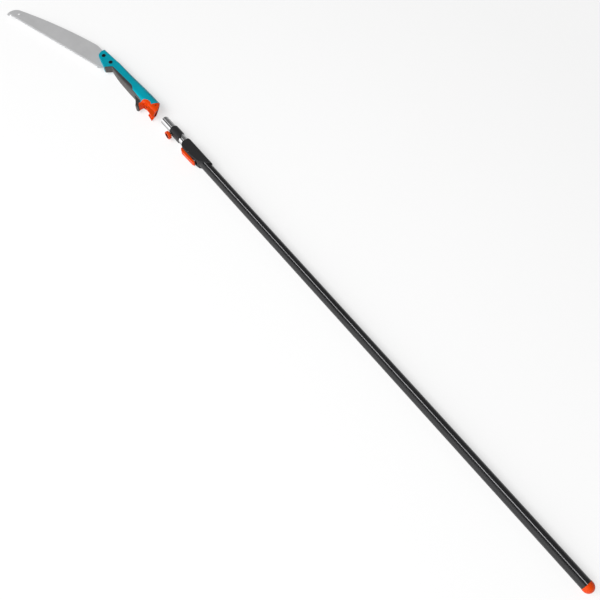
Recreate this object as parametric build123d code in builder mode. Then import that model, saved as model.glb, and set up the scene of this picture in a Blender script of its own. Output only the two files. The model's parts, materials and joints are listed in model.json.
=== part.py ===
"""Telescoping pole saw: a pruning saw that pushes onto a two-stage telescopic pole.

Millimetres. +X runs along the pole towards the saw, +Y is the toothed side, +Z is up.
The origin is the centre of the spigot's tip, where the saw's socket goes on.
The saw is modelled pulled off the pole, as it is photographed.
"""
import math
import os

from build123d import *

# Pole: two tubes, one sliding in the other, with a crease that keeps them from turning
outer_od = 25.2
outer_wall = 0.8
inner_wall = 1.0
tube_gap = 0.3
spigot_step = 0.3
outer_front = -130.0
outer_rear = -1464.0
inner_rear = -1418.0
crease_radius = 1.3
crease_inset = 1.0
crease_gap = 0.35
crease_angle = 20.0

# Fits
press_gap = 0.02
running_gap = 0.06
seat_gap = 0.3

# Telescope lock: rocker lever with a pin that drops into holes along the inner tube
lock_x = -115.5
lock_pitch = 240.0
lock_steps = 5
lock_pin_dia = 6.0
lock_hole_dia = 7.6
lock_pin_lift = 0.3
lock_pin_top = 21.5
pivot_x = -138.0
pivot_dia = 3.0
barrel_radius = 3.0

# Lock housing
housing_front = -100.0
housing_rear = -204.0
housing_half_height = 14.8
housing_right = 14.0
housing_left = 19.2
housing_round = 2.2
housing_shoulder = 10.0
lever_width = 14.4
lever_arm = 33.0
lever_side_gap = 0.4
lever_round = 1.0
spring_width = 8.0
spring_thickness = 0.6
rivet_dia = 4.0
rivet_head_dia = 7.0
rivet_head_height = 1.1
rivet_xs = (-152.0, -192.0)

# Guide bush in the housing's mouth, glide at the inner tube's tail, cap on the butt
bush_length = 10.0
bush_od = 26.4
glide_plug_length = 22.0
glide_length = 22.0
cap_plug_length = 18.0
cap_skirt_od = 26.2
cap_length = 17.0
cap_rim = 6.0

# Clamp on the spigot: collar with a flat, threaded insert, stud and thumb knob
collar_od = 28.0
collar_front = -42.0
collar_rear = -83.0
collar_flat = 12.7
collar_slant = 11.0
screw_x = -49.0
stud_dia = 6.0
stud_tip = 6.6
insert_od = 9.6
insert_length = 8.0
knob_dia = 22.0
knob_height = 7.6
knob_recess_dia = 15.6
knob_recess_depth = 3.6
knob_flutes = 8
knob_flute_radius = 2.4
nose_dia = 14.0
nose_length = 2.25
nose_lift = 0.3
washer_od = 20.0
washer_thickness = 0.8

# Coupling jaw on the saw: D-shaped bore over the collar, knob channel, keyhole, finger notch
notch_x = 65.0
notch_y = 23.5
notch_radius = 12.5
jaw_floor = 1.8
cheek_gap = 0.5
cheek_half = 14.2
stud_slot = 7.0
keyhole_gap = 0.3
jaw_band = 8.5
jaw_mouth = 23.0
mouth_rake = 0.45
neck_radius = 16.3
neck_inset = 8.0
neck_side = 7.5
jaw_rivet_dia = 4.0
jaw_rivet_length = 3.5
jaw_rivet_x = 50.0
jaw_rivet_y = -3.0

# Saw handle
socket_end_gap = 1.0
socket_slip = 0.35
head_half = 10.5
head_round = 3.0
grip_stop_half = 9.5
grip_skin = 2.5
block_half = 40.0

# Saw blade: straight toothed edge set at an angle to the pole, curved back, hooked tip
blade_angle = 15.8
blade_thickness = 1.6
heel_x = 281.0
heel_y = 42.2
tooth_length = 340.0
tooth_pitch = 5.0
tooth_depth = 4.4
tooth_rake = 1.5
fleam_angle = 28.0
blade_height = 61.0
hang_hole_dia = 7.0
hang_hole_u = 332.5
hang_hole_v = 18.2
slot_gap = 0.05
screw_points = ((296.0, 9.5), (262.0, 7.5))
blade_screw_dia = 5.0
screw_head_dia = 11.0
screw_head_height = 2.4
screw_sink = 1.0
screw_socket = 5.0
screw_socket_depth = 1.6

# Worked out from the sizes above
outer_radius = outer_od / 2
outer_bore = outer_radius - outer_wall
inner_radius = outer_bore - tube_gap
inner_bore = inner_radius - inner_wall
spigot_radius = inner_radius - spigot_step
crease_centre = outer_radius + crease_radius - crease_inset
outer_rib = crease_radius + outer_wall
inner_crease = outer_rib + crease_gap
inner_rib = inner_crease + inner_wall
pivot_y = outer_radius + 0.4 + barrel_radius
lock_tip = inner_radius + lock_pin_lift
lever_rear = pivot_x - lever_arm
pocket_front = housing_front - bush_length - 0.5
floor_in = collar_flat + seat_gap
floor_out = floor_in + jaw_floor
nose_end = floor_out + nose_lift
knob_inner = nose_end + nose_length
knob_outer = knob_inner + knob_height
seat_travel = notch_x - screw_x
socket_end = seat_travel + socket_end_gap
socket_step = collar_front + seat_travel + 0.5
socket_radius = spigot_radius + socket_slip
collar_bore = collar_od / 2 + seat_gap
cheek_inner = knob_dia / 2 + cheek_gap
mouth_slope = Vector(-mouth_rake, 0, 1)
cap_dome = cap_length - cap_rim
cap_dome_radius = ((cap_skirt_od / 2) ** 2 + cap_dome**2) / (2 * cap_dome)

os.makedirs("parts", exist_ok=True)


def creased_disc(x, radius, crease):
    """Round section across the pole at x, with the crease taken out of its edge."""
    turn = math.radians(crease_angle)
    with BuildSketch(Plane.YZ.offset(x)) as section:
        Circle(radius)
        with Locations((crease_centre * math.sin(turn), crease_centre * math.cos(turn))):
            Circle(crease, mode=Mode.SUBTRACT)
    return section.sketch


def across(x, y):
    """Plane square to the pole's toothed side: local X along the pole, normal along +Y."""
    return Plane(origin=(x, y, 0), x_dir=(1, 0, 0), z_dir=(0, 1, 0))


# Outer tube
with BuildPart() as outer_tube:
    extrude(creased_disc(outer_rear, outer_radius, crease_radius), amount=outer_front - outer_rear)
    extrude(
        creased_disc(outer_rear, outer_bore, outer_rib),
        amount=outer_front - outer_rear,
        mode=Mode.SUBTRACT,
    )
    with BuildSketch(across(0, -outer_radius - 5)):
        with Locations([(x, 0) for x in rivet_xs]):
            Circle(rivet_dia / 2 + press_gap)
    extrude(amount=10, mode=Mode.SUBTRACT)

# Inner tube, with its row of lock holes, the hole for the clamp's insert and the spigot at its tip
lock_holes = [lock_x - lock_pitch * step for step in range(lock_steps + 1)]
with BuildPart() as inner_tube:
    extrude(
        creased_disc(inner_rear, inner_radius, inner_crease),
        amount=collar_front - inner_rear,
    )
    extrude(creased_disc(collar_front, spigot_radius, inner_crease), amount=-collar_front)
    extrude(
        creased_disc(inner_rear, inner_bore, inner_rib),
        amount=-inner_rear,
        mode=Mode.SUBTRACT,
    )
    with BuildSketch(across(0, 0)):
        with Locations([(x, 0) for x in lock_holes]):
            Circle(lock_hole_dia / 2)
        with Locations((screw_x, 0)):
            Circle(insert_od / 2 + press_gap)
    extrude(amount=outer_radius, mode=Mode.SUBTRACT)

# Glide that guides the inner tube's tail inside the outer tube
with BuildPart() as tail_glide:
    extrude(
        creased_disc(inner_rear, inner_bore - press_gap, inner_rib + press_gap),
        amount=glide_plug_length,
    )
    extrude(
        creased_disc(inner_rear, outer_bore - running_gap, outer_rib + running_gap),
        amount=-glide_length,
    )
    with BuildSketch(Plane.YZ.offset(inner_rear - glide_length)):
        Circle(inner_bore - 3)
    extrude(amount=glide_length + glide_plug_length - 3, mode=Mode.SUBTRACT)

# Guide bush, keyed into the inner tube's crease
with BuildPart() as guide_bush:
    with BuildSketch(Plane.YZ.offset(housing_front)):
        Circle(bush_od / 2)
    extrude(amount=-bush_length)
    extrude(
        creased_disc(housing_front, inner_radius + running_gap, inner_crease - running_gap),
        amount=-bush_length,
        mode=Mode.SUBTRACT,
    )

# Domed cap on the pole's butt
with BuildPart() as end_cap:
    extrude(
        creased_disc(outer_rear, outer_bore - press_gap, outer_rib + press_gap),
        amount=cap_plug_length,
    )
    with BuildSketch(Plane.YZ.offset(outer_rear)):
        Circle(outer_bore - 3)
    extrude(amount=cap_plug_length, mode=Mode.SUBTRACT)
    with BuildSketch(Plane.XZ):
        with BuildLine():
            shoulder = Line((outer_rear, 0), (outer_rear, cap_skirt_od / 2))
            rim = Line(shoulder @ 1, (outer_rear - cap_rim, cap_skirt_od / 2))
            dome = RadiusArc(rim @ 1, (outer_rear - cap_length, 0), -cap_dome_radius)
            Line(dome @ 1, shoulder @ 0)
        make_face()
    revolve(axis=Axis.X)

# Lock housing: flat-topped moulding over the outer tube's mouth, open beside the tube for the lever
with BuildPart() as lock_housing:
    with BuildSketch(Plane.XY.offset(-housing_half_height)) as housing_plan:
        Polygon(
            (housing_front, -8.5),
            (housing_front, 8.5),
            (housing_front - 6, 15.0),
            (housing_front - 15, housing_left),
            (pivot_x - 6, housing_left),
            (lever_rear + 3, 15.6),
            (lever_rear - 9, outer_radius + 0.9),
            (housing_rear, -8.5),
            (housing_rear, -housing_right),
            (housing_front - 6, -housing_right),
            align=None,
        )
        fillet(housing_plan.vertices(), 1.5)
    extrude(amount=2 * housing_half_height)
    fillet(lock_housing.faces().filter_by(Axis.Z).edges(), housing_round)
    with BuildSketch(Plane.YZ.offset(housing_rear)):
        for side in (1, -1):
            corner = (housing_shoulder - housing_right, side * (housing_half_height - housing_shoulder))
            with Locations(corner):
                Rectangle(
                    2 * housing_shoulder,
                    2 * housing_shoulder,
                    align=(Align.MAX, Align.MIN if side == 1 else Align.MAX),
                )
                Circle(housing_shoulder, mode=Mode.SUBTRACT)
    extrude(amount=housing_front - housing_rear, mode=Mode.SUBTRACT)
    with BuildSketch(Plane.YZ.offset(housing_rear)):
        Circle(outer_radius + press_gap)
    extrude(amount=outer_front - housing_rear, mode=Mode.SUBTRACT)
    with BuildSketch(Plane.YZ.offset(outer_front)):
        Circle(inner_radius + seat_gap)
    extrude(amount=housing_front - outer_front, mode=Mode.SUBTRACT)
    with BuildSketch(Plane.YZ.offset(housing_front - bush_length)):
        Circle(bush_od / 2 + press_gap)
    extrude(amount=bush_length, mode=Mode.SUBTRACT)
    with BuildSketch(Plane.XY.offset(-lever_width / 2 - lever_side_gap)):
        with Locations((pocket_front, 0)):
            Rectangle(pocket_front - lever_rear + 3, housing_left + 10, align=(Align.MAX, Align.MIN))
    extrude(amount=lever_width + 2 * lever_side_gap, mode=Mode.SUBTRACT)
    with BuildSketch(Plane.XY.offset(-housing_half_height)):
        with Locations((pivot_x, pivot_y)):
            Circle(pivot_dia / 2 + press_gap)
    extrude(amount=2 * housing_half_height, mode=Mode.SUBTRACT)
    with BuildSketch(across(0, -housing_right - 2)):
        with Locations([(x, 0) for x in rivet_xs]):
            Circle(rivet_dia / 2 + press_gap)
    extrude(amount=8, mode=Mode.SUBTRACT)

# Rivets that hold the housing to the outer tube, on the side away from the lever
with BuildPart() as housing_rivets:
    with BuildSketch(across(0, -housing_right)):
        with Locations([(x, 0) for x in rivet_xs]):
            Circle(rivet_head_dia / 2)
    extrude(amount=-rivet_head_height)
    fillet(housing_rivets.faces().sort_by(Axis.Y)[:2].edges(), rivet_head_height * 0.6)
    with BuildSketch(across(0, -housing_right)):
        with Locations([(x, 0) for x in rivet_xs]):
            Circle(rivet_dia / 2)
    extrude(amount=housing_right - outer_bore - press_gap)

# Release lever: rocker beside the tube, pressed at its long rear arm
with BuildPart() as release_lever:
    with BuildSketch(Plane.XY.offset(-lever_width / 2)) as lever_plan:
        Polygon(
            (lock_x + 4.6, 17.0),
            (lock_x + 4.6, 21.0),
            (lock_x - 3, 25.2),
            (lever_rear + 6, 23.9),
            (lever_rear, 22.0),
            (lever_rear, 18.9),
            (pivot_x - 6, 18.6),
            (pivot_x + 6, 17.0),
            align=None,
        )
        fillet(lever_plan.vertices().filter_by_position(Axis.Y, 20, 30), 2.5)
    extrude(amount=lever_width)
    rim = release_lever.faces().filter_by(Axis.Z).edges()
    fillet(rim.filter_by_position(Axis.Y, 20.5, 30), lever_round)
    with BuildSketch(Plane.XY.offset(-lever_width / 2)):
        with Locations((pivot_x, pivot_y)):
            Circle(barrel_radius)
    extrude(amount=lever_width)
    with BuildSketch(Plane.XY.offset(-lever_width / 2)):
        with Locations((pivot_x, pivot_y)):
            Circle(pivot_dia / 2 + running_gap)
    extrude(amount=lever_width, mode=Mode.SUBTRACT)
    with BuildSketch(across(lock_x, 0)):
        Circle(lock_pin_dia / 2 + press_gap)
    extrude(amount=lock_pin_top, mode=Mode.SUBTRACT)

# Hinge pin across the housing's two ears
with BuildPart() as lever_pin:
    with BuildSketch(Plane.XY.offset(-housing_half_height)):
        with Locations((pivot_x, pivot_y)):
            Circle(pivot_dia / 2)
    extrude(amount=2 * housing_half_height)

# Locking pin pressed into the lever's front arm
with BuildPart() as locking_pin:
    with BuildSketch(across(lock_x, lock_tip)):
        Circle(lock_pin_dia / 2)
    extrude(amount=lock_pin_top - lock_tip)
    chamfer(locking_pin.faces().sort_by(Axis.Y)[0].edges(), 0.6)

# Leaf spring under the lever's rear arm, its free end on the outer tube
with BuildPart() as lever_spring:
    with BuildSketch(Plane.XY.offset(-spring_width / 2)):
        with BuildLine():
            FilletPolyline(
                (lever_rear + 3, 18.45),
                (pivot_x - 6, 17.6),
                (lever_rear + 9, outer_radius + 0.5),
                radius=1.2,
            )
            offset(amount=spring_thickness / 2)
        make_face()
    extrude(amount=spring_width)

# Clamp collar on the spigot, with a flat that keys the saw's jaw
with BuildPart() as screw_collar:
    with BuildSketch(Plane.YZ.offset(collar_rear)):
        Circle(collar_od / 2)
    extrude(amount=collar_front - collar_rear)
    chamfer(screw_collar.edges().filter_by(GeomType.CIRCLE), 1.4)
    with BuildSketch(Plane.YZ.offset(collar_rear)):
        with Locations((collar_flat, 0)):
            Rectangle(collar_od, collar_od, align=(Align.MIN, Align.CENTER))
    extrude(amount=collar_front - collar_rear, mode=Mode.SUBTRACT)
    with BuildSketch(Plane.YZ.offset(collar_rear)):
        Circle(inner_radius + press_gap)
    extrude(amount=collar_front - collar_rear, mode=Mode.SUBTRACT)
    with BuildSketch(Plane.XY.offset(-collar_od)):
        Polygon(
            (collar_rear - 1, 3),
            (collar_rear, 3),
            (collar_rear + collar_slant, -collar_od / 2),
            (collar_rear - 1, -collar_od / 2),
            align=None,
        )
    extrude(amount=2 * collar_od, mode=Mode.SUBTRACT)
    with BuildSketch(across(screw_x, 0)):
        Circle(insert_od / 2 + press_gap)
    extrude(amount=collar_od, mode=Mode.SUBTRACT)

# Threaded insert through the collar and the tube's wall
with BuildPart() as clamp_insert:
    with BuildSketch(across(screw_x, collar_flat)):
        Circle(insert_od / 2)
        Circle(stud_dia / 2 + running_gap, mode=Mode.SUBTRACT)
    extrude(amount=-insert_length)

# Stud, moulded into the knob
with BuildPart() as clamp_stud:
    with BuildSketch(across(screw_x, stud_tip)):
        Circle(stud_dia / 2)
    extrude(amount=knob_outer - knob_recess_depth - 1 - stud_tip)
    chamfer(clamp_stud.faces().sort_by(Axis.Y)[0].edges(), 0.8)

# Washer under the knob's head, round its nose
with BuildPart() as clamp_washer:
    with BuildSketch(across(screw_x, knob_inner)):
        Circle(washer_od / 2)
        Circle(nose_dia / 2 + running_gap, mode=Mode.SUBTRACT)
    extrude(amount=-washer_thickness)

# Thumb knob: fluted head with a dished end, and a nose that drops into the jaw's keyhole
with BuildPart() as clamp_knob:
    with BuildSketch(across(screw_x, nose_end)):
        Circle(nose_dia / 2)
    extrude(amount=nose_length)
    with BuildSketch(across(screw_x, knob_inner)):
        Circle(knob_dia / 2)
    extrude(amount=knob_height)
    chamfer(clamp_knob.faces().sort_by(Axis.Y)[-1].edges(), 0.8)
    with BuildSketch(across(screw_x, knob_inner)):
        with PolarLocations(knob_dia / 2 + knob_flute_radius * 0.7, knob_flutes):
            Circle(knob_flute_radius)
    extrude(amount=knob_height, mode=Mode.SUBTRACT)
    with BuildSketch(across(screw_x, knob_outer)):
        Circle(knob_recess_dia / 2)
    extrude(amount=-knob_recess_depth, taper=12, mode=Mode.SUBTRACT)
    with BuildSketch(across(screw_x, nose_end)):
        Circle(stud_dia / 2 + press_gap)
    extrude(amount=knob_outer - knob_recess_depth - 1 - nose_end, mode=Mode.SUBTRACT)

# Saw blade
blade_turn = math.radians(blade_angle)
blade_plane = Plane(
    origin=(heel_x, heel_y, 0),
    x_dir=(math.cos(blade_turn), math.sin(blade_turn), 0),
    z_dir=(0, 0, -1),
)
hook_u = tooth_length + 20


def blade_blank(grow=0.0):
    """Outline of the blade before its teeth are cut, in the blade's own plane."""
    with BuildSketch(blade_plane) as blank:
        with BuildLine():
            edge = Line((0, 0), (tooth_length + 6, 0))
            notch = ThreePointArc(edge @ 1, (tooth_length + 9, 4.2), (tooth_length + 10.5, -1.8))
            nub = ThreePointArc(notch @ 1, (hook_u - 5, -4.0), (hook_u, -0.5))
            nose = ThreePointArc(nub @ 1, (hook_u - 1.5, 18), (hook_u - 17, 31))
            crown = ThreePointArc(nose @ 1, (200, 52.4), (66, blade_height))
            shoulder = ThreePointArc(crown @ 1, (50, 59.5), (34, 54.5))
            tang = Polyline(shoulder @ 1, (4, 48.5), (-36, 36), (-39, 25), (-31, 15), (-13, 3))
            heel = Line(tang @ 1, (-5.5, -2.8))
            Line(heel @ 1, edge @ 0)
        make_face()
        if grow:
            offset(amount=grow)
    return blank.sketch


tooth_count = int(tooth_length / tooth_pitch)
with BuildPart() as saw_blade:
    extrude(blade_blank(), amount=blade_thickness / 2, both=True)
    lean = math.tan(math.radians(fleam_angle))
    for side in (1, -1):
        gullets = [tooth_pitch * i - lean * side * blade_thickness for i in range(tooth_count)]
        first = 0 if side == 1 else 1
        with BuildSketch(blade_plane.offset(-blade_thickness)):
            with Locations([(u, 0) for u in gullets[first::2]]):
                Polygon(
                    (0, -3),
                    (tooth_pitch, -3),
                    (tooth_pitch, 0),
                    (tooth_rake, tooth_depth),
                    (0, 0),
                    align=None,
                )
        slant = blade_plane.x_dir * (lean * side) + blade_plane.z_dir
        extrude(amount=2 * blade_thickness * slant.length, dir=slant, mode=Mode.SUBTRACT)
    with BuildSketch(blade_plane.offset(-blade_thickness)):
        with Locations((hang_hole_u, hang_hole_v)):
            Circle(hang_hole_dia / 2)
    extrude(amount=2 * blade_thickness, mode=Mode.SUBTRACT)
    with BuildSketch(Plane.XY.offset(-blade_thickness)):
        with Locations(screw_points):
            Circle(blade_screw_dia / 2 + press_gap)
    extrude(amount=2 * blade_thickness, mode=Mode.SUBTRACT)

# The saw's whole handle in one form, before it is parted into its three mouldings
handle_stations = (
    (15.0, -18.6, 17.6, 18.0, 14.0),
    (70.0, -18.8, 18.2, 18.2, 14.2),
    (110.0, -17.9, 21.0, 17.6, 13.8),
    (150.0, -16.0, 22.0, 15.8, 12.4),
    (190.0, -14.2, 21.6, 13.6, 10.4),
    (225.0, -12.6, 18.4, 12.0, 6.6),
    (252.0, -11.0, 14.0, 10.5, 3.4),
)


def mouth_cut(mouth):
    """Section of what lies in front of the socket's slanting mouth, on the plane under the handle."""
    with BuildSketch(Plane.XY.offset(-block_half)) as section:
        with Locations((block_half * mouth_rake, 0)):
            Polygon(
                (-60, -40),
                (mouth + 50, -40),
                (mouth + 23, -10),
                (mouth + 12, 2),
                (mouth, 27),
                (mouth, 40),
                (-60, 40),
                align=None,
            )
    return section.sketch


with BuildPart() as handle_form:
    with BuildSketch(Plane.XY.offset(-head_half)) as head_plan:
        with BuildLine():
            upper = Line((246, -10.6), (316, -5.5))
            brow = ThreePointArc(upper @ 1, (316, 9.0), (305, 21))
            front = Line(brow @ 1, (260, 31.5))
            Polyline(front @ 1, (255, 30.5), (243, 12.5), upper @ 0)
        make_face()
        corners = head_plan.vertices().filter_by_position(Axis.X, 250, 330)
        fillet(corners, 1.8)
    extrude(amount=2 * head_half)
    rim = handle_form.faces().filter_by(Axis.Z).edges()
    fillet(rim.filter_by_position(Axis.X, 248, 330), head_round)
    for x, top, bottom, half, corner in handle_stations:
        with BuildSketch(Plane.YZ.offset(x)):
            with Locations(((top + bottom) / 2, 0)):
                RectangleRounded(bottom - top, 2 * half, corner)
    loft()
    with BuildSketch(Plane.XY.offset(-cheek_half)) as cheek_plan:
        Polygon(
            (jaw_mouth - 10, 0),
            (jaw_mouth - 10, 26.5),
            (jaw_mouth, 26.0),
            (jaw_mouth + 20, 22.5),
            (notch_x - notch_radius + 2, 21.0),
            (notch_x, 10),
            align=None,
        )
        fillet(cheek_plan.vertices().sort_by(Axis.X)[-2], 2)
    extrude(amount=2 * cheek_half)
    with BuildSketch(Plane.XY.offset(-grip_stop_half)) as stop_plan:
        with BuildLine():
            rear = ThreePointArc(
                (notch_x + notch_radius - 3, 12),
                (notch_x + notch_radius, notch_y),
                (notch_x + notch_radius - 1.5, notch_y + 11),
            )
            tip = ThreePointArc(rear @ 1, (notch_x + 15, notch_y + 14), (notch_x + 21, notch_y + 13))
            front = ThreePointArc(tip @ 1, (notch_x + 34, notch_y + 4.5), (notch_x + 53, 20.6))
            Polyline(front @ 1, (notch_x + 53, 12), rear @ 0)
        make_face()
    extrude(amount=2 * grip_stop_half)
    fillet(handle_form.faces().filter_by(Axis.Z).edges().filter_by_position(Axis.Y, 21, 40), 2.0)
    extrude(
        mouth_cut(jaw_mouth),
        amount=2 * block_half * mouth_slope.length,
        dir=mouth_slope,
        mode=Mode.SUBTRACT,
    )

# Where the soft grip lies: below this line on the toothed side
with BuildPart() as grip_block:
    with BuildSketch(Plane.XY.offset(-block_half)):
        with BuildLine():
            along = Line((244, 11), (152, 8.2))
            dip = ThreePointArc(along @ 1, (141, 10.4), (132, 15.2))
            run = Line(dip @ 1, (notch_x + notch_radius + jaw_band + 2, 16.5))
            Polyline(
                run @ 1,
                (notch_x + notch_radius + jaw_band, notch_y + 2),
                (notch_x + notch_radius - 1, notch_y + 8),
                (notch_x + 6, notch_y + 30),
                (256 + grip_skin, notch_y + 30),
                (255 + grip_skin, 30.5 - grip_skin / 2),
                (243 + grip_skin, 12.5 - grip_skin / 2),
                along @ 0,
            )
        make_face()
    extrude(amount=2 * block_half)

# The handle's neck, which the jaw fits round
with BuildPart() as neck:
    with BuildSketch(Plane.YZ):
        Circle(neck_radius)
        with Locations((neck_side, 0)):
            Rectangle(60, 60, align=(Align.MIN, Align.CENTER), mode=Mode.SUBTRACT)
    extrude(amount=140)
    extrude(
        mouth_cut(jaw_mouth + neck_inset),
        amount=2 * block_half * mouth_slope.length,
        dir=mouth_slope,
        mode=Mode.SUBTRACT,
    )

# Where the coupling jaw lies: round the notch and over the mouth, outside the handle's neck
with BuildPart() as jaw_block:
    with BuildSketch(Plane.XY.offset(-block_half)):
        with Locations((notch_x, notch_y)):
            Circle(notch_radius + jaw_band)
    extrude(amount=2 * block_half)
    with BuildSketch(Plane.XY.offset(-block_half)):
        with Locations((block_half * mouth_rake, 0)):
            Polygon(
                (-60, -40),
                (jaw_mouth + 31, -40),
                (jaw_mouth + 33, -12),
                (jaw_mouth + 39, 4),
                (notch_x, notch_y),
                (notch_x, 50),
                (-60, 50),
                align=None,
            )
    extrude(amount=2 * block_half * mouth_slope.length, dir=mouth_slope)
    add(neck.part, mode=Mode.SUBTRACT)
    add(grip_block.part, mode=Mode.SUBTRACT)

# Socket that goes over the spigot and its collar
with BuildPart() as socket_space:
    with BuildSketch(Plane.YZ.offset(jaw_mouth - 15)):
        Circle(collar_bore)
        with Locations((floor_in, 0)):
            Rectangle(60, 60, align=(Align.MIN, Align.CENTER), mode=Mode.SUBTRACT)
    extrude(amount=socket_step - jaw_mouth + 15)
    with BuildSketch(Plane.YZ.offset(socket_step)):
        Circle(socket_radius)
    extrude(amount=socket_end - socket_step)

# Handle body with the blade's slot and the socket
with BuildPart() as handle_body:
    add(handle_form.part)
    add(grip_block.part, mode=Mode.SUBTRACT)
    add(jaw_block.part, mode=Mode.SUBTRACT)
    add(socket_space.part, mode=Mode.SUBTRACT)
    extrude(
        blade_blank(slot_gap),
        amount=blade_thickness / 2 + slot_gap,
        both=True,
        mode=Mode.SUBTRACT,
    )
    with BuildSketch(Plane.XY.offset(-head_half)):
        with Locations(screw_points):
            Circle(blade_screw_dia / 2 + press_gap)
    extrude(amount=2 * head_half, mode=Mode.SUBTRACT)
    for side in (1, -1):
        with BuildSketch(Plane.XY.offset(side * (head_half - screw_sink))):
            with Locations(screw_points):
                Circle(screw_head_dia / 2 + press_gap)
        extrude(amount=side * 5, mode=Mode.SUBTRACT)
        with BuildSketch(Plane.XY.offset(side * collar_bore)):
            with Locations((jaw_rivet_x - side * mouth_rake * collar_bore, jaw_rivet_y)):
                Circle(jaw_rivet_dia / 2 + press_gap)
        extrude(amount=side * 8, mode=Mode.SUBTRACT)

# Soft grip along the handle's underside, with its finger stop
with BuildPart() as soft_grip:
    add(handle_form.part)
    add(grip_block.part, mode=Mode.INTERSECT)

# Coupling jaw: two cheeks beside a slotted floor, with a keyhole for the knob's nose
with BuildPart() as coupling_jaw:
    add(handle_form.part)
    add(jaw_block.part, mode=Mode.INTERSECT)
    add(socket_space.part, mode=Mode.SUBTRACT)
    with BuildSketch(across(0, floor_out)):
        with Locations((notch_x + notch_radius, 0)):
            Rectangle(120, 2 * cheek_inner, align=(Align.MAX, Align.CENTER))
    extrude(amount=60, mode=Mode.SUBTRACT)
    for side in (1, -1):
        with BuildSketch(Plane.XY.offset(side * cheek_inner)):
            with Locations((notch_x, notch_y)):
                Circle(notch_radius)
        extrude(amount=side * 30, mode=Mode.SUBTRACT)
        with BuildSketch(Plane.XY.offset(side * collar_bore)):
            with Locations((jaw_rivet_x - side * mouth_rake * collar_bore, jaw_rivet_y)):
                Circle(jaw_rivet_dia / 2 + press_gap)
        extrude(amount=side * 8, mode=Mode.SUBTRACT)
    with BuildSketch(across(notch_x, floor_in - 2)):
        Circle(nose_dia / 2 + keyhole_gap)
        Rectangle(120, stud_slot, align=(Align.MAX, Align.CENTER))
    extrude(amount=jaw_floor + 3, mode=Mode.SUBTRACT)

# Rivets that hold the jaw on the handle's neck, one on each face
with BuildPart() as jaw_rivets:
    for side in (1, -1):
        with BuildSketch(Plane.XY.offset(side * (collar_bore + 0.2))):
            with Locations((jaw_rivet_x - side * mouth_rake * collar_bore, jaw_rivet_y)):
                Circle(jaw_rivet_dia / 2)
        extrude(amount=side * jaw_rivet_length)

# Blade screws from above and their nuts below
with BuildPart() as blade_screws:
    with BuildSketch(Plane.XY.offset(head_half - screw_sink)):
        with Locations(screw_points):
            Circle(screw_head_dia / 2)
    extrude(amount=screw_head_height)
    fillet(blade_screws.faces().sort_by(Axis.Z)[-2:].edges(), 0.7)
    with BuildSketch(Plane.XY.offset(head_half - screw_sink)):
        with Locations(screw_points):
            Circle(blade_screw_dia / 2)
    extrude(amount=-2 * head_half + 2 * screw_sink - 1)
    with BuildSketch(Plane.XY.offset(head_half - screw_sink + screw_head_height)):
        with Locations(screw_points):
            RegularPolygon(screw_socket / 2, 6, major_radius=False)
    extrude(amount=-screw_socket_depth, mode=Mode.SUBTRACT)

with BuildPart() as blade_nuts:
    with BuildSketch(Plane.XY.offset(-head_half + screw_sink)):
        with Locations(screw_points):
            Circle(screw_head_dia / 2)
            Circle(blade_screw_dia / 2 + press_gap, mode=Mode.SUBTRACT)
    extrude(amount=-screw_head_height)
    chamfer(blade_nuts.faces().sort_by(Axis.Z)[:2].edges(), 0.4)

finished = {
    "outer_tube": outer_tube,
    "inner_tube": inner_tube,
    "tail_glide": tail_glide,
    "guide_bush": guide_bush,
    "end_cap": end_cap,
    "lock_housing": lock_housing,
    "housing_rivets": housing_rivets,
    "release_lever": release_lever,
    "lever_pin": lever_pin,
    "locking_pin": locking_pin,
    "lever_spring": lever_spring,
    "screw_collar": screw_collar,
    "clamp_insert": clamp_insert,
    "clamp_stud": clamp_stud,
    "clamp_washer": clamp_washer,
    "clamp_knob": clamp_knob,
    "saw_blade": saw_blade,
    "handle_body": handle_body,
    "soft_grip": soft_grip,
    "coupling_jaw": coupling_jaw,
    "jaw_rivets": jaw_rivets,
    "blade_screws": blade_screws,
    "blade_nuts": blade_nuts,
}
for name, piece in finished.items():
    piece.part.label = name
    export_step(piece.part, f"parts/{name}.step")
    print(name, len(piece.part.solids()), round(piece.part.volume))
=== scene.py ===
"""Looks of the telescoping pole saw round its CAD frame: materials, a copy of the lever spring, floor,
light, camera.
"""
import json
import math

import bpy
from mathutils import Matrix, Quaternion, Vector


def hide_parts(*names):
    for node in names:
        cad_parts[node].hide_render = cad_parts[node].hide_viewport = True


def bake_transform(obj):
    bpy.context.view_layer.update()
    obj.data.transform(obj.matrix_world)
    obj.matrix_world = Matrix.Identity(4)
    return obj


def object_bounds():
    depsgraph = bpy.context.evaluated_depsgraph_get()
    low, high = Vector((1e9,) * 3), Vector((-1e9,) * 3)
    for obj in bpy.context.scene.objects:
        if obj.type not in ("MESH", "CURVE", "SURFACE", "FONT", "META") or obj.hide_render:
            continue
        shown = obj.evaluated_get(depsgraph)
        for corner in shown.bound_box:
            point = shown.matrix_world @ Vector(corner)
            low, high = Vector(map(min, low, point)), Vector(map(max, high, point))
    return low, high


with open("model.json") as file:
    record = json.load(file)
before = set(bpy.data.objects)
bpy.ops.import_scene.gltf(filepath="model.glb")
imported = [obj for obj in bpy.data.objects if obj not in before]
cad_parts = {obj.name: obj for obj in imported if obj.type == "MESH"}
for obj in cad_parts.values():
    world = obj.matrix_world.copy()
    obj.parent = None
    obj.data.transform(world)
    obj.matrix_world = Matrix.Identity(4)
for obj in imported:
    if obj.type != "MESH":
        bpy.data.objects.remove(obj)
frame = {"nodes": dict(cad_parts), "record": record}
nodes = frame["nodes"]
cad_low, cad_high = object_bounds()

# Camera, in metres and radians: from the pole's taper in the photograph, then fitted to the whole outline
camera_place = Vector((-1.2741, 0.5383, 1.4545))
camera_aim = Vector((-0.649, 0.0506, 0.0))
camera_roll = Quaternion((0, 0, 1), 0.0013)
camera_reach = 50.0
focal_pixels = 722.3
frame_pixels = 600.0
sensor_width = 36.0

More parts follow.
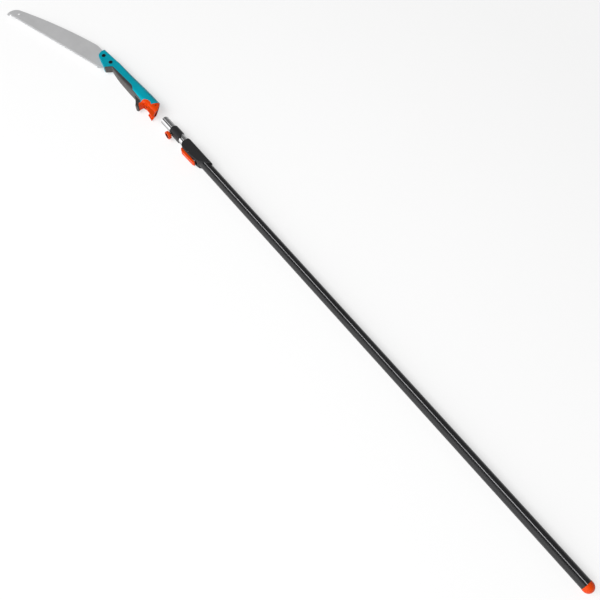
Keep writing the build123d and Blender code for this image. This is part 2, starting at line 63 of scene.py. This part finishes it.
# Floor, in metres, with the share of it that glows up to glow_start; from glow_end on it all glows
floor_size = 14.0
floor_centre = -0.4
floor_gap = 0.0005
floor_glow = 0.6
glow_start = 1.0
glow_end = 3.0

# Long soft box above the pole, in metres and watts
key_place = Vector((-0.6, 2.8, 4.2))
key_aim = Vector((-0.5, 0.0, 0.0))
key_size = (6.0, 2.8)
key_power = 310.0

# Brightness of the studio round the pole, by the angle from overhead towards the knob's side, in degrees
studio_walls = (
    (-180, 0.35),
    (-80, 0.35),
    (-68, 0.22),
    (-16, 0.16),
    (-6, 0.03),
    (49, 0.03),
    (54, 1.4),
    (180, 1.4),
)

# Colours, linear
ORANGE = (0.65, 0.052, 0.002)
# Painted shade in the recess in the knob's end
RECESS_SHADE = (0.05, 0.006, 0.004)
TEAL = (0.0, 0.29, 0.375)
BLACK = (0.024, 0.024, 0.025)
SCREW_BLACK = (0.012, 0.012, 0.0125)
TUBE_BLACK = (0.012, 0.012, 0.013)
# Painted highlight along the outer tube's crease
COAT_PAINTED_HIGHLIGHT = (0.42, 0.42, 0.43)
GREY_RUBBER = (0.042, 0.04, 0.039)
# Painted light on the grip's side that faces the lamp
RUBBER_PAINTED_LIGHT = (0.09, 0.085, 0.082)
BLADE = (0.57, 0.57, 0.575)
GROUND_STEEL = (0.66, 0.66, 0.67)
STEEL = (0.42, 0.42, 0.42)
DARK_STEEL = (0.09, 0.09, 0.095)
SILVER = (0.8, 0.8, 0.81)
PAPER = (0.94, 0.94, 0.94)
BRASS = (0.2, 0.13, 0.05)

# Values that most of the noise lies between
noise_low = 0.3
noise_high = 0.7

# Depth of the finest marks, in metres, and how strongly plastic mirrors
hairline_depth = 0.00002
plastic_gloss = 0.22

# Tooth line of the blade and the bright band ground along it, in metres
tooth_line_start = Vector((0.281, 0.0422, 0.0))
tooth_line_angle = math.radians(15.8)
ground_band = 0.0055
ground_fade = 0.0008

# Crease along the outer tube and the strip beside its lip where a highlight is painted, in metres
pole_axis = Vector((0.0, 0.0, 0.0))
crease_angle = math.radians(20)
crease_lip = 0.0012
upper_height = 0.004
highlight_lead = 0.0001
highlight_full = 0.0002
highlight_width = 0.0016

# Recess in the knob's end, where shade is painted, in metres
knob_axis = Vector((-0.049, 0.0, 0.0))
knob_recess_radius = 0.0079
knob_recess_floor = 0.0198
recess_edge = 0.0002


def shade(colour, factor):
    """The colour made darker or lighter."""
    return tuple(min(1.0, channel * factor) for channel in colour)


class Shader:
    """A node material that is put together a line at a time."""

    def __init__(self, name):
        self.material = bpy.data.materials.new(name)
        self.material.use_nodes = True
        self.tree = self.material.node_tree
        self.surface = self.tree.nodes["Principled BSDF"]
        self.place = self.tree.nodes.new("ShaderNodeTexCoord").outputs["Object"]

    def node(self, kind, **values):
        """A new node, with its sockets and settings given by name."""
        made = self.tree.nodes.new(kind)
        for key, value in values.items():
            if key in made.inputs:
                made.inputs[key].default_value = value
            else:
                setattr(made, key, value)
        return made

    def link(self, source, target):
        self.tree.links.new(source, target)

    def noise(self, scale, detail, roughness=0.55, stretch=(1, 1, 1)):
        """Cloudy noise, finer with a larger scale, and drawn out along an axis whose stretch is small."""
        mapping = self.node("ShaderNodeMapping", Scale=stretch)
        self.link(self.place, mapping.inputs["Vector"])
        made = self.node("ShaderNodeTexNoise", Scale=scale, Detail=detail, Roughness=roughness)
        self.link(mapping.outputs["Vector"], made.inputs["Vector"])
        return made.outputs["Fac"]

    def mottled(self, factor, colour, darker, lighter):
        """A colour that goes from a darker to a lighter shade of itself."""
        made = self.node("ShaderNodeValToRGB")
        stops = made.color_ramp.elements
        stops[0].position = noise_low
        stops[0].color = (*shade(colour, darker), 1)
        stops[1].position = noise_high
        stops[1].color = (*shade(colour, lighter), 1)
        self.link(factor, made.inputs["Fac"])
        return made.outputs["Color"]

    def span(self, factor, low, high, start=noise_low, end=noise_high):
        """A number that goes from low to high while the factor goes from start to end."""
        made = self.node("ShaderNodeMapRange")
        made.inputs["From Min"].default_value = start
        made.inputs["From Max"].default_value = end
        made.inputs["To Min"].default_value = low
        made.inputs["To Max"].default_value = high
        self.link(factor, made.inputs["Value"])
        return made.outputs["Result"]

    def from_point(self, start):
        """The way from a point, in the piece's own space."""
        made = self.node("ShaderNodeVectorMath", operation="SUBTRACT")
        made.inputs[1].default_value = start
        self.link(self.place, made.inputs[0])
        return made.outputs["Vector"]

    def along(self, start, direction):
        """Distance from a point along a direction."""
        made = self.node("ShaderNodeVectorMath", operation="DOT_PRODUCT")
        made.inputs[1].default_value = direction
        self.link(self.from_point(start), made.inputs[0])
        return made.outputs["Value"]

    def from_axis(self, start, flatten):
        """Distance from an axis through a point; flatten is 0 along the axis and 1 across it."""
        across = self.node("ShaderNodeVectorMath", operation="MULTIPLY")
        across.inputs[1].default_value = flatten
        self.link(self.from_point(start), across.inputs[0])
        made = self.node("ShaderNodeVectorMath", operation="LENGTH")
        self.link(across.outputs["Vector"], made.inputs[0])
        return made.outputs["Value"]

    def both(self, first, second):
        """1 where both are 1."""
        made = self.node("ShaderNodeMath", operation="MULTIPLY")
        self.link(first, made.inputs[0])
        self.link(second, made.inputs[1])
        return made.outputs["Value"]

    def blend(self, factor, first, second):
        """The first colour where the factor is 0, the second where it is 1."""
        made = self.node("ShaderNodeMixRGB")
        self.link(factor, made.inputs["Fac"])
        self.link(first, made.inputs["Color1"])
        self.link(second, made.inputs["Color2"])
        return made.outputs["Color"]

    def bump(self, height, distance, strength, after=None):
        """A surface roughened by the height, on top of the bumps that come before it."""
        made = self.node("ShaderNodeBump", Distance=distance, Strength=strength)
        self.link(height, made.inputs["Height"])
        if after is not None:
            self.link(after, made.inputs["Normal"])
        return made.outputs["Normal"]

    def finish(self, colour, roughness, normal=None):
        """The material with its colour, roughness and bumps in place."""
        self.link(colour, self.surface.inputs["Base Color"])
        self.link(roughness, self.surface.inputs["Roughness"])
        if normal is not None:
            self.link(normal, self.surface.inputs["Normal"])
        return self.material


def knob_recess(shader):
    """1 in the recess in the knob's end, where shade is painted, and 0 elsewhere."""
    radius = shader.from_axis(knob_axis, flatten=(1, 0, 1))
    rim = knob_recess_radius + recess_edge
    inside = shader.span(radius, 1.0, 0.0, start=knob_recess_radius, end=rim)
    height = shader.along(knob_axis, direction=(0, 1, 0))
    below = knob_recess_floor - recess_edge
    above = shader.span(height, 0.0, 1.0, start=below - recess_edge, end=below)
    return shader.both(inside, above)


def moulded_plastic(name, colour, roughness, grain=2200.0, depth=0.00006, recess_shade=None):
    """Injection-moulded plastic: faint flow marks, fine grain, worn patches and hairline scratches.

    The hollow colour is the shade painted into the recess in the knob's end."""
    shader = Shader(name)
    shader.surface.inputs["Specular IOR Level"].default_value = plastic_gloss
    flow = shader.noise(scale=14.0, detail=5.0)
    rub = shader.noise(scale=55.0, detail=6.0, roughness=0.65)
    fine = shader.noise(scale=grain, detail=2.0)
    hair = shader.noise(scale=420.0, detail=3.0, stretch=(0.08, 1, 1))
    tint = shader.mottled(flow, colour, darker=0.92, lighter=1.08)
    if recess_shade is not None:
        # Painted shade in the knob's recess
        dark = shader.mottled(flow, recess_shade, darker=0.8, lighter=1.2)
        tint = shader.blend(knob_recess(shader), tint, dark)
    skin = shader.bump(fine, distance=depth, strength=0.35)
    normal = shader.bump(hair, distance=hairline_depth, strength=0.15, after=skin)
    dullness = shader.span(rub, low=roughness - 0.06, high=roughness + 0.08)
    return shader.finish(tint, dullness, normal)


def soft_rubber(name, colour, painted_light):
    """Soft overmould: dull, finely pebbled and dusty, with light painted paler on the side that faces +Y,
    towards the lamp.
    """
    shader = Shader(name)
    pebbles = shader.node("ShaderNodeTexVoronoi", Scale=900.0)
    shader.link(shader.place, pebbles.inputs["Vector"])
    dust = shader.noise(scale=40.0, detail=6.0)
    facing = shader.node("ShaderNodeSeparateXYZ")
    shader.link(shader.node("ShaderNodeTexCoord").outputs["Normal"], facing.inputs["Vector"])
    # Painted light: paler where the surface faces +Y, towards the lamp
    lit_side = shader.span(facing.outputs["Y"], 0.0, 1.0, start=0.35, end=0.75)
    skin = shader.mottled(dust, colour, darker=0.85, lighter=1.25)
    pale = shader.mottled(dust, painted_light, darker=0.9, lighter=1.1)
    normal = shader.bump(pebbles.outputs["Distance"], distance=0.00012, strength=0.4)
    dullness = shader.span(dust, low=0.58, high=0.72)
    return shader.finish(shader.blend(lit_side, skin, pale), dullness, normal)


def drawn_metal(name, colour, roughness, stretch=(1, 1, 1), edge_shade=1.0):
    """Metal with fine lines along its drawing direction; a dark edge tint paints shade on its reflection
    where it turns away.
    """
    shader = Shader(name)
    shader.surface.inputs["Metallic"].default_value = 1.0
    # Painted shade: a dark edge tint dims the reflection at grazing angles
    shader.surface.inputs["Specular Tint"].default_value = (edge_shade, edge_shade, edge_shade, 1)
    lines = shader.noise(scale=900.0, detail=3.0, stretch=stretch)
    clouds = shader.noise(scale=18.0, detail=5.0)
    tint = shader.mottled(clouds, colour, darker=0.94, lighter=1.05)
    normal = shader.bump(lines, distance=hairline_depth, strength=0.25)
    dullness = shader.span(lines, low=roughness * 0.8, high=roughness * 1.3)
    return shader.finish(tint, dullness, normal)


def painted_crease_highlight(shader):
    """Up to 1 on the lip beside the outer tube's crease, where an uneven highlight is painted, and 0
    elsewhere.
    """
    outwards = Vector((0.0, math.sin(crease_angle), math.cos(crease_angle)))
    across = Vector((0.0, -math.cos(crease_angle), math.sin(crease_angle)))
    past_lip = shader.along(pole_axis + across * crease_lip, across)
    near = shader.span(past_lip, 0.0, 1.0, start=-highlight_lead, end=highlight_full)
    far = shader.span(past_lip, 1.0, 0.0, start=highlight_width / 2, end=highlight_width)
    upper = shader.span(shader.along(pole_axis, outwards), 0.0, 1.0, start=0.0, end=upper_height)
    # Uneven strength of the painted highlight
    unevenness = shader.span(shader.noise(scale=25.0, detail=5.0, stretch=(0.3, 1, 1)), low=0.75, high=1.0)
    return shader.both(shader.both(near, far), shader.both(upper, unevenness))


def coated_tube(name, colour, painted_light):
    """Satin coat on the outer tube: slight orange peel, handling marks along it and a painted highlight
    along the lip of its crease.
    """
    shader = Shader(name)
    peel = shader.noise(scale=700.0, detail=2.0)
    marks = shader.noise(scale=60.0, detail=6.0, stretch=(0.15, 1, 1))
    coat = shader.mottled(marks, colour, darker=0.8, lighter=1.3)
    # Colour of the painted highlight on the crease's lip
    lip_highlight = shader.mottled(marks, painted_light, darker=0.9, lighter=1.1)
    normal = shader.bump(peel, distance=0.00003, strength=0.25)
    dullness = shader.span(marks, low=0.28, high=0.4)
    return shader.finish(shader.blend(painted_crease_highlight(shader), coat, lip_highlight), dullness, normal)


def blade_steel(name, colour, ground):
    """Matt hard-chromed blade: lines ground along it, faint clouds, scratches and bright ground teeth."""
    shader = Shader(name)
    shader.surface.inputs["Metallic"].default_value = 0.25
    into_blade = Vector((math.sin(tooth_line_angle), -math.cos(tooth_line_angle), 0.0))
    depth = shader.along(tooth_line_start, into_blade)
    body = shader.span(depth, 0.0, 1.0, start=ground_band, end=ground_band + ground_fade)
    grind = shader.noise(scale=1500.0, detail=2.0, stretch=(0.06, 1, 1))
    scratches = shader.noise(scale=260.0, detail=5.0, roughness=0.7, stretch=(0.04, 1, 1))
    clouds = shader.noise(scale=22.0, detail=6.0)
    plain = shader.mottled(clouds, colour, darker=0.95, lighter=1.04)
    teeth = shader.mottled(grind, ground, darker=0.9, lighter=1.1)
    skin = shader.bump(grind, distance=hairline_depth, strength=0.25)
    normal = shader.bump(scratches, distance=0.00003, strength=0.12, after=skin)
    dullness = shader.span(scratches, low=0.46, high=0.6)
    return shader.finish(shader.blend(body, teeth, plain), dullness, normal)


# The look of each material slot that the record names
finishes = {
    "cap_orange": moulded_plastic("cap_orange", ORANGE, roughness=0.42),
    "lever_orange": moulded_plastic("lever_orange", ORANGE, roughness=0.38),
    "knob_orange": moulded_plastic("knob_orange", ORANGE, roughness=0.36, recess_shade=RECESS_SHADE),
    "jaw_orange": moulded_plastic("jaw_orange", ORANGE, roughness=0.4),
    "handle_teal": moulded_plastic("handle_teal", TEAL, roughness=0.36),
    "housing_black": moulded_plastic("housing_black", BLACK, roughness=0.5, grain=1400.0, depth=0.0001),
    "collar_black": moulded_plastic("collar_black", BLACK, roughness=0.42),
    "bush_black": moulded_plastic("bush_black", BLACK, roughness=0.45),
    "screw_black": moulded_plastic("screw_black", SCREW_BLACK, roughness=0.4),
    "grip_grey": soft_rubber("grip_grey", GREY_RUBBER, RUBBER_PAINTED_LIGHT),
    "tube_black": coated_tube("tube_black", TUBE_BLACK, COAT_PAINTED_HIGHLIGHT),
    "blade_steel": blade_steel("blade_steel", BLADE, GROUND_STEEL),
    # Painted shade on the spigot's edges
    "tube_silver": drawn_metal("tube_silver", SILVER, roughness=0.08, stretch=(0.02, 1, 1), edge_shade=0.15),
    "pin_steel": drawn_metal("pin_steel", GROUND_STEEL, roughness=0.35, stretch=(1, 1, 0.05)),
    "rivet_steel": drawn_metal("rivet_steel", DARK_STEEL, roughness=0.4),
    "spring_steel": drawn_metal("spring_steel", STEEL, roughness=0.35, stretch=(0.05, 1, 1)),
    "washer_steel": drawn_metal("washer_steel", STEEL, roughness=0.3),
    "stud_steel": drawn_metal("stud_steel", STEEL, roughness=0.32, stretch=(1, 0.05, 1)),
    "insert_brass": drawn_metal("insert_brass", BRASS, roughness=0.3, stretch=(1, 0.05, 1)),
}
for entry in frame["record"]["subparts"]:
    piece = nodes[entry["node"]]
    piece.data.materials.clear()
    piece.data.materials.append(finishes[entry["material_slot"]])


def placed(name, data):
    """A new object in the scene."""
    made = bpy.data.objects.new(name, data)
    bpy.context.scene.collection.objects.link(made)
    return made


def looking(place, aim):
    """The turn of a lamp or camera that looks from a place at a point."""
    return (aim - place).to_track_quat("-Z", "Y")


def flexing_spring():
    """A copy of the lever's leaf spring in place of the hidden CAD spring; on the saw its free end rests on
    the outer tube and its root turns with the lever.
    """
    spring = placed("flexing_spring", nodes["lever_spring"].data.copy())
    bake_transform(spring)
    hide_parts("lever_spring")


def seen_directly(tree):
    """1 for what the camera, a mirror or a lens sees, and 0 for light that falls on the part."""
    rays = tree.nodes.new("ShaderNodeLightPath")
    total = rays.outputs["Is Camera Ray"]
    for kind in ("Is Glossy Ray", "Is Transmission Ray"):
        either = tree.nodes.new("ShaderNodeMath")
        either.operation = "MAXIMUM"
        tree.links.new(total, either.inputs[0])
        tree.links.new(rays.outputs[kind], either.inputs[1])
        total = either.outputs["Value"]
    return total


def floor_paper():
    """Pale paper lit from behind, so that the part's shadow on it is light and its far end is white."""
    shader = Shader("floor_paper")
    cloud = shader.noise(scale=0.6, detail=2.0)
    tint = shader.mottled(cloud, PAPER, darker=0.99, lighter=1.01)
    material = shader.finish(tint, shader.span(cloud, low=0.85, high=0.9))
    glow = shader.node("ShaderNodeEmission", Strength=1.0)
    distance = shader.from_axis((0, 0, 0), flatten=(1, 1, 0))
    share = shader.span(distance, floor_glow, 1.0, start=glow_start, end=glow_end)
    mixed = shader.node("ShaderNodeMixShader")
    shader.link(shader.both(seen_directly(shader.tree), share), mixed.inputs["Fac"])
    shader.link(shader.surface.outputs["BSDF"], mixed.inputs[1])
    shader.link(glow.outputs["Emission"], mixed.inputs[2])
    shader.link(mixed.outputs["Shader"], shader.tree.nodes["Material Output"].inputs["Surface"])
    return material


def pale_floor():
    """Wide floor just under the part."""
    floor_top = cad_low[2] - floor_gap
    bpy.ops.mesh.primitive_plane_add(size=floor_size, location=(floor_centre, 0, floor_top))
    floor = bpy.context.object
    floor.name = "floor"
    floor.data.materials.append(floor_paper())


def wall_brightness(tree):
    """Brightness of the studio in the direction of a ray, by its angle about the pole."""
    direction = tree.nodes.new("ShaderNodeSeparateXYZ")
    ray = tree.nodes.new("ShaderNodeTexCoord")
    tree.links.new(ray.outputs["Generated"], direction.inputs["Vector"])
    angle = tree.nodes.new("ShaderNodeMath")
    angle.operation = "ARCTAN2"
    tree.links.new(direction.outputs["Y"], angle.inputs[0])
    tree.links.new(direction.outputs["Z"], angle.inputs[1])
    turn = tree.nodes.new("ShaderNodeMapRange")
    turn.inputs["From Min"].default_value = -math.pi
    turn.inputs["From Max"].default_value = math.pi
    tree.links.new(angle.outputs["Value"], turn.inputs["Value"])
    walls = tree.nodes.new("ShaderNodeValToRGB")
    stops = walls.color_ramp.elements
    # New stops all start halfway and get their places next
    while len(stops) < len(studio_walls):
        stops.new(0.5)
    for stop, (degrees, brightness) in zip(stops, studio_walls):
        stop.position = (degrees + 180) / 360
        stop.color = (brightness, brightness, brightness, 1)
    tree.links.new(turn.outputs["Result"], walls.inputs["Fac"])
    return walls.outputs["Color"]


def studio():
    """White wall on the knob's side, grey wall behind and dark overhead; the camera itself sees white."""
    world = bpy.data.worlds.new("studio")
    bpy.context.scene.world = world
    world.use_nodes = True
    tree = world.node_tree
    rays = tree.nodes.new("ShaderNodeLightPath")
    backdrop = tree.nodes.new("ShaderNodeMixRGB")
    backdrop.inputs["Color2"].default_value = (1, 1, 1, 1)
    tree.links.new(rays.outputs["Is Camera Ray"], backdrop.inputs["Fac"])
    tree.links.new(wall_brightness(tree), backdrop.inputs["Color1"])
    tree.links.new(backdrop.outputs["Color"], tree.nodes["Background"].inputs["Color"])
    bpy.context.scene.view_settings.view_transform = "Standard"


def key_lamp():
    """Soft box that lights the part but isn't mirrored in it."""
    lamp = bpy.data.lights.new("key", "AREA")
    lamp.shape = "RECTANGLE"
    lamp.size, lamp.size_y = key_size
    lamp.energy = key_power
    holder = placed("key", lamp)
    holder.visible_glossy = False
    holder.location = key_place
    holder.rotation_euler = looking(key_place, key_aim).to_euler()


def photo_camera():
    """The photograph's camera."""
    lens = bpy.data.cameras.new("photo_camera")
    lens.sensor_width = sensor_width
    lens.lens = focal_pixels / frame_pixels * sensor_width
    lens.clip_end = camera_reach
    camera = placed("photo_camera", lens)
    camera.location = camera_place
    camera.rotation_euler = (looking(camera_place, camera_aim) @ camera_roll).to_euler()
    bpy.context.scene.camera = camera


flexing_spring()
pale_floor()
studio()
key_lamp()
photo_camera()
